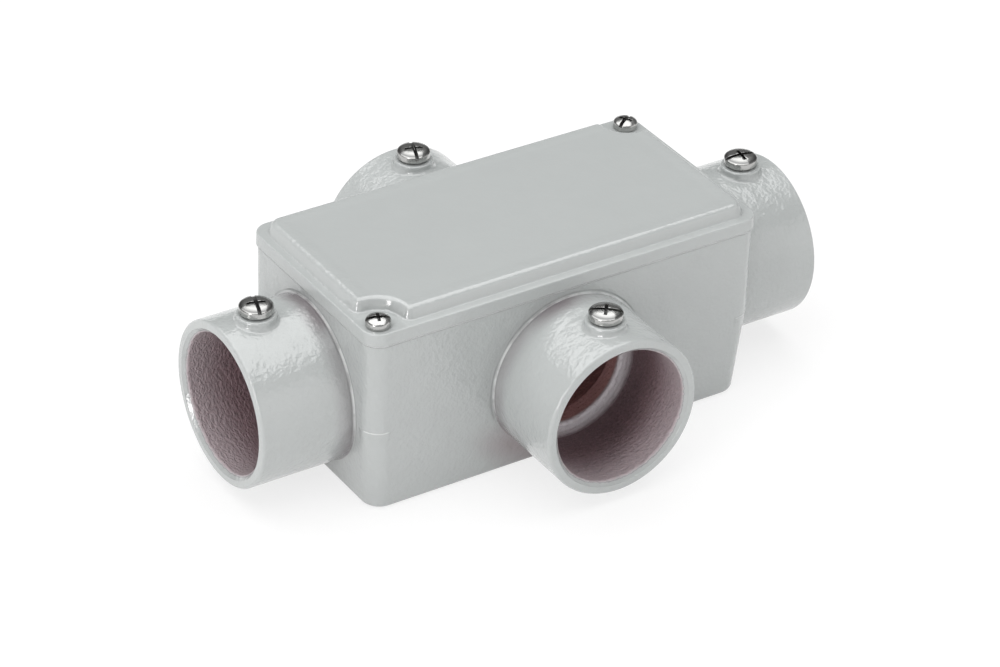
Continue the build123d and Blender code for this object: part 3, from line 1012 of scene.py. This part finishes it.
print("open ends of the outline:", [(round(v.co.x, 1), round(v.co.y, 1)) for v in ends])

# %% [markdown]
# The four straight sides join the open ends of the arcs. The two arcs at a scallop's own corner are
# neighbours round the outline too, but there is nothing to join between them.

# %% Raised panel and cover plate
for one, two in zip(ends, ends[1:] + ends[:1]):
    if abs(one.co.x - two.co.x) < 1e-3 or abs(one.co.y - two.co.y) < 1e-3:
        outline.edges.new((one, two))
bmesh.ops.contextual_create(outline, geom=outline.edges[:])
skirt = bmesh.ops.extrude_face_region(outline, geom=outline.faces[:])["geom"]
bmesh.ops.translate(outline, vec=(0, 0, -1),
                    verts=[v for v in skirt if isinstance(v, bmesh.types.BMVert)])
bmesh.ops.recalc_face_normals(outline, faces=outline.faces)
top = [f for f in outline.faces if f.normal.z > 0.9]
FOOT_STEPS = 6
foot_arc = [(PANEL_FOOT_R * math.sin(SIDE_ANGLE * i / FOOT_STEPS),
             PANEL_FOOT_R * (1 - math.cos(SIDE_ANGLE * i / FOOT_STEPS))) for i in range(FOOT_STEPS + 1)]
side_rise = COVER_TOP - COVER_RIM - foot_arc[-1][1]
profile = foot_arc + [(foot_arc[-1][0] + side_rise / math.tan(SIDE_ANGLE), COVER_TOP - COVER_RIM)]
for (in_1, up_1), (in_2, up_2) in zip(profile, profile[1:]):
    bmesh.ops.inset_region(outline, faces=top, thickness=in_2 - in_1, depth=up_2 - up_1,
                           use_even_offset=True, use_boundary=True)
round_edges(outline, edges_at_height(outline, COVER_TOP), PANEL_EDGE, 5, clamp=False)
panel = solid(outline, "panel")
print("panel:", len(panel.data.polygons), "faces")

bm = block(cover_high.x, cover_high.y, COVER_LOW, COVER_RIM, COVER_CORNER, segments=12)
upper_ring = [v for v in bm.verts if v.co.z > COVER_RIM - 0.01]
set_corners(upper_ring, COVER_CORNER, COVER_CORNER - RIM_DRAFT, cover_high.x, cover_high.y,
            inward=RIM_DRAFT)
round_edges(bm, edges_at_height(bm, COVER_RIM), RIM_TOP_R, 4)
round_edges(bm, edges_at_height(bm, COVER_LOW), RIM_LOW_R, 3)
cover = solid(bm, "casting_cover")
combine(cover, panel, "UNION")
print("cover:", len(cover.data.polygons), "faces")

# %% [markdown]
# The underside is hollow, so that the panel is as thick as the walls everywhere, but solid round each
# screw, where the cover has to bear the screw's pull.

# %% The cover's underside and screw holes
COVER_WALL = 2.4
POCKET_INSET = 6.0
POCKET_CORNER = 3.0
POCKET_TOP_R = 0.6
COVER_HOLE_R = 1.7
POCKET_TOP = COVER_TOP - COVER_WALL
bm = block(cover_high.x - POCKET_INSET, cover_high.y - POCKET_INSET, COVER_LOW - 2, POCKET_TOP,
           POCKET_CORNER)
round_edges(bm, edges_at_height(bm, POCKET_TOP), POCKET_TOP_R, 3)
pocket = solid(bm, "pocket")
for x, y in cover_screws:
    seat = rod(x, y, COVER_LOW - 4, POCKET_TOP + 4, SCALLOP_R + COVER_WALL, 72)
    combine(pocket, solid(seat, "screw_seat"), "DIFFERENCE")
combine(cover, pocket, "DIFFERENCE")
for x, y in cover_screws:
    hole = rod(x, y, COVER_LOW - 2, COVER_RIM + 2, COVER_HOLE_R, 40)
    combine(cover, solid(hole, "cover_screw_hole"), "DIFFERENCE")
finish_piece(cover, "cover", "cover", cover_coat)

# %% [markdown]
# ## The screws
#
# A pan head has a straight band, a crowned top and a drive recess, here a slot with a cross in its
# middle. The head and shank are turned in one go, the recess is cut, and its edges get a fine bevel
# that catches the light. An attribute marks the points in the recess, so that the material can paint
# shade into them.

# %% Head, shank and recess
CROWN = ((0, 0), (0.35, 0.05), (0.68, 0.22), (0.9, 0.5), (1, 0.85))
HEAD_ROUNDING = {4: 0.12, 5: 0.25, 7: 0.35}
THREAD_DEPTH = 0.25
SLOT_WIDTH, SLOT_DEPTH = 0.85, 1.0
CROSS_WIDTH, CROSS_DEPTH, CROSS_REACH = 0.7, 1.4, 1.1
RECESS_EDGE = 0.09
ABOVE_SEAT = 0.2


def head_and_shank(x, y, top, seat, tip, shank_r, head_r):
    """The turned shape of a screw. CROWN gives shares of the head's radius and drops from its top."""
    core_r = shank_r - THREAD_DEPTH
    profile = [(head_r * share, top - drop) for share, drop in CROWN]
    profile += [(head_r, seat), (core_r, seat), (core_r, tip), (0, tip)]
    bm = turned(profile, HEAD_ROUNDING, 64)
    bmesh.ops.translate(bm, vec=(x, y, 0), verts=bm.verts)
    return bm


def cut_recess(screw, x, y, top, seat, head_r, slot_angle):
    """Cuts the slot and the cross, and softens their edges."""
    turn = Matrix.Translation((x, y, top)) @ Matrix.Rotation(math.radians(slot_angle), 4, "Z")
    reach = CROSS_REACH * head_r
    for size in ((3 * head_r, SLOT_WIDTH, 2 * SLOT_DEPTH), (reach, CROSS_WIDTH, 2 * CROSS_DEPTH),
                 (CROSS_WIDTH, reach, 2 * CROSS_DEPTH)):
        bm = bmesh.new()
        bmesh.ops.create_cube(bm, size=1.0, matrix=turn @ Matrix.Diagonal((*size, 1)))
        combine(screw, solid(bm, "recess"), "DIFFERENCE")

    def soften(bm):
        bmesh.ops.remove_doubles(bm, verts=bm.verts, dist=1e-4)
        sharp = [e for e in bm.edges if e.calc_face_angle(0) > math.radians(50)
                 and min(v.co.z for v in e.verts) > seat + ABOVE_SEAT]
        round_edges(bm, sharp, RECESS_EDGE, 2)
    reshape(screw, soften)


def mark_recess(screw, x, y, top, seat, head_r):
    """Gives the points in the recess the value 1."""
    recess = screw.data.attributes.new("recess", "FLOAT", "POINT")
    for spot, v in zip(recess.data, screw.data.vertices):
        off_axis = math.hypot(v.co.x - x, v.co.y - y)
        spot.value = float(seat + ABOVE_SEAT < v.co.z < top - 0.45 and off_axis < head_r - 0.3)


# %% [markdown]
# ## Threads
#
# The thread is a small triangle carried round and up the shank. It is a mesh of its own that sits a
# little into the shank, so the two are only put together in one mesh. The sizes are those of M4 and M3
# screws, and the slots lie as they were left when the screws were driven home.

# %% Thread
THREAD_SEGMENTS = 24
RIDGE_HEIGHT = 0.32
RIDGE_SHARE = 0.36


def thread(x, y, top, bottom, radius, pitch):
    """A helical ridge: a triangle spun about the screw's axis while it climbs."""
    bm = bmesh.new()
    turns = (top - bottom) / pitch - 1.0
    half = pitch * RIDGE_SHARE
    ridge = [bm.verts.new(point) for point in (
        (radius - RIDGE_HEIGHT, 0, bottom), (radius, 0, bottom + half),
        (radius - RIDGE_HEIGHT, 0, bottom + 2 * half))]
    face = bm.faces.new(ridge)
    steps = int(turns * THREAD_SEGMENTS)
    bmesh.ops.spin(bm, geom=[face, *face.edges, *face.verts], cent=(0, 0, 0), axis=(0, 0, 1),
                   dvec=(0, 0, turns * pitch / steps), angle=turns * 2 * math.pi, steps=steps,
                   use_merge=False)
    bmesh.ops.translate(bm, vec=(x, y, 0), verts=bm.verts)
    return bm


# %% Six screws
M4 = {"shank_r": 2.0, "head_r": 3.85, "pitch": 0.7}
M3 = {"shank_r": 1.5, "head_r": 2.8, "pitch": 0.5}


def pan_head_screw(node, name, seat, slot_angle, shank_r, head_r, pitch):
    """A screw in place of a CAD node."""
    low, high = node_box(node)
    x, y = screw_place(node)
    screw = solid(head_and_shank(x, y, high.z, seat, low.z, shank_r, head_r), name)
    cut_recess(screw, x, y, high.z, seat, head_r, slot_angle)
    mark_recess(screw, x, y, high.z, seat, head_r)
    ridge = solid(thread(x, y, seat - 0.3, low.z + 0.1, shank_r, pitch), "thread")
    bm = bmesh.new()
    bm.from_mesh(screw.data)
    bm.from_mesh(ridge.data)
    bpy.data.objects.remove(ridge)
    bm.to_mesh(screw.data)
    bm.free()
    return finish_piece(screw, node, node, plated, sharp=45)


SET_SEAT = 43.6
COVER_SEAT = COVER_RIM + 0.01
SLOT_ANGLES = {"left": -107, "right": -8, "front": -38, "back": -109}
for side, angle in SLOT_ANGLES.items():
    pan_head_screw("set_screw_" + side, "screw_on_%s_hub" % side, SET_SEAT, angle, **M4)
for node, name, angle in (("cover_screw_front", "screw_in_front_scallop", -22),
                          ("cover_screw_rear", "screw_in_rear_scallop", -148)):
    pan_head_screw(node, name, COVER_SEAT, angle, **M3)

# %% [markdown]
# ## The camera
#
# The camera stands where the photograph was taken from: far away with a long lens, looking down on
# the long side from the left. Its place was worked out from the outlines of the hubs and the box. It
# looks past the middle of the floor, by AIM_RIGHT and AIM_UP across its line of sight.

# %% Camera
AZIMUTH = math.radians(-33.544)
ELEVATION = math.radians(32.75)
ROLL = math.radians(1.978)
DISTANCE = 889.0
AIM_RIGHT = -0.212
AIM_UP = 13.978
AIM_Z = 0.62
LENS = 139.76
SENSOR_WIDTH = 36.0
level = Vector((math.cos(AZIMUTH), math.sin(AZIMUTH), 0))
back = Vector((math.sin(AZIMUTH) * math.cos(ELEVATION), -math.cos(AZIMUTH) * math.cos(ELEVATION),
               math.sin(ELEVATION)))
above = back.cross(level)
right = level * math.cos(ROLL) + above * math.sin(ROLL)
up = above * math.cos(ROLL) - level * math.sin(ROLL)
eye = right * AIM_RIGHT + up * AIM_UP + back * DISTANCE + Vector((0, 0, AIM_Z))
camera_data = bpy.data.cameras.new("camera")
camera_data.lens = LENS
camera_data.sensor_width = SENSOR_WIDTH
camera_data.clip_start = 0.05
camera_data.clip_end = 10
camera = bpy.data.objects.new("camera", camera_data)
turn = Matrix((right, up, back)).transposed().to_4x4()
camera.matrix_world = Matrix.Translation(eye * MM) @ turn
bpy.context.scene.collection.objects.link(camera)
bpy.context.scene.camera = camera
print("camera at", [round(c, 3) for c in camera.location])

# %% [markdown]
# ## The studio
#
# The object stands on white paper. Seen by the camera and in reflections, three quarters of it are
# plain white and the rest is lit paper, which keeps a faint shadow. For all other light it is paper
# only. A large soft box hangs overhead and gives the long highlights on the hubs, two smaller ones
# light the walls, and the room around is pale, as white paper and walls reflect.

# %% Floor
PAPER = (0.95, 0.95, 0.95)
PAPER_HALF = 3.0
PAPER_DROP = 0.00002
PLAIN_WHITE = 0.75
bm = bmesh.new()
bmesh.ops.create_grid(bm, x_segments=1, y_segments=1, size=PAPER_HALF)
bmesh.ops.translate(bm, vec=(0, 0, -PAPER_DROP), verts=bm.verts)
mesh = bpy.data.meshes.new("floor")
bm.to_mesh(mesh)
bm.free()
floor = bpy.data.objects.new("floor", mesh)
bpy.context.scene.collection.objects.link(floor)
paper, paper_shader, _ = new_material("white_paper", PAPER, 0.9)
tree = paper.node_tree


def is_seen(tree):
    """1 for what the camera sees, also in reflections and through glass."""
    path = add(tree, "ShaderNodeLightPath")
    seen = calc(tree, "MAXIMUM", path.outputs["Is Camera Ray"], path.outputs["Is Glossy Ray"])
    return calc(tree, "MAXIMUM", seen, path.outputs["Is Transmission Ray"])


white = add(tree, "ShaderNodeEmission", {"Color": (1, 1, 1, 1), "Strength": 1.0})
paper_mix = add(tree, "ShaderNodeMixShader", {
    0: times(tree, is_seen(tree), PLAIN_WHITE), 1: paper_shader.outputs[0], 2: white.outputs[0]})
tree.links.new(paper_mix.outputs[0], tree.nodes["Material Output"].inputs["Surface"])
floor.data.materials.append(paper)
print("floor", floor.name, "with", paper.name)

# %% Lamps
FILL_COLOR = (1.0, 0.97, 0.975)


def soft_box(name, towards, distance, width, height, power):
    """An area lamp that hangs in one direction and faces the object."""
    lamp = bpy.data.lights.new(name, "AREA")
    lamp.shape = "RECTANGLE"
    lamp.size = width
    lamp.size_y = height
    lamp.energy = power
    hung = bpy.data.objects.new(name, lamp)
    direction = Vector(towards).normalized()
    hung.location = direction * distance
    hung.rotation_euler = direction.to_track_quat("Z", "Y").to_euler()
    bpy.context.scene.collection.objects.link(hung)
    return hung


overhead = soft_box("overhead_box", (-0.14, 0.21, 1.0), 1.1, 1.7, 1.65, 16)
overhead.rotation_euler = (0, 0, math.radians(-13))
left_fill = soft_box("left_fill", (-0.89, -0.36, 0.30), 1.6, 0.35, 0.9, 7.8)
right_fill = soft_box("right_fill", (0.75, -0.8, 0.28), 1.6, 1.8, 1.2, 3.4)
for lamp in (left_fill, right_fill):
    lamp.data.color = FILL_COLOR
for lamp in (overhead, left_fill, right_fill):
    print(lamp.name, lamp.data.energy, "W")

# %% [markdown]
# The room has two faces. Its light is an even grey, so the castings have no dark side. What it shows
# in their gloss is painted: pale walls, a darker ceiling and a dark patch behind the object, which is
# what the hubs' far sides and the screws mirror.

# %% World
LIGHT_OF_ROOM = (0.52, 0.52, 0.52, 1)
WALL_PAINT = (0.65, 0.65, 0.65, 1)
CEILING_PAINT = (0.35, 0.35, 0.35, 1)
DARK_PAINT = (0.2, 0.2, 0.2, 1)
CEILING_RISE = (math.sin(math.radians(8)), math.sin(math.radians(40)))
BEHIND = (0.553, 0.833, 0)
DARK_SIDE = (0.2, 0.6)
DARK_RISE = (0.45, 0.68, 1.0, 0.0)
world = bpy.data.worlds.new("pale_room")
bpy.context.scene.world = world
world.use_nodes = True
tree = world.node_tree
backdrop = tree.nodes["Background"]
towards = add(tree, "ShaderNodeTexCoord").outputs["Generated"]
rise = parts_of(tree, towards)[2]
ceiling = ramp(tree, rise, *CEILING_RISE)
paint = blend_colors(tree, ceiling, WALL_PAINT, CEILING_PAINT)
behind = add(tree, "ShaderNodeVectorMath", {0: towards, 1: BEHIND},
             operation="DOT_PRODUCT").outputs["Value"]
dark = times(tree, ramp(tree, behind, *DARK_SIDE), ramp(tree, rise, *DARK_RISE))
paint = blend_colors(tree, dark, paint, DARK_PAINT)
tree.links.new(blend_colors(tree, is_seen(tree), LIGHT_OF_ROOM, paint), backdrop.inputs["Color"])
print("world", world.name, len(tree.nodes), "nodes")

bpy.context.scene.view_settings.view_transform = "Standard"
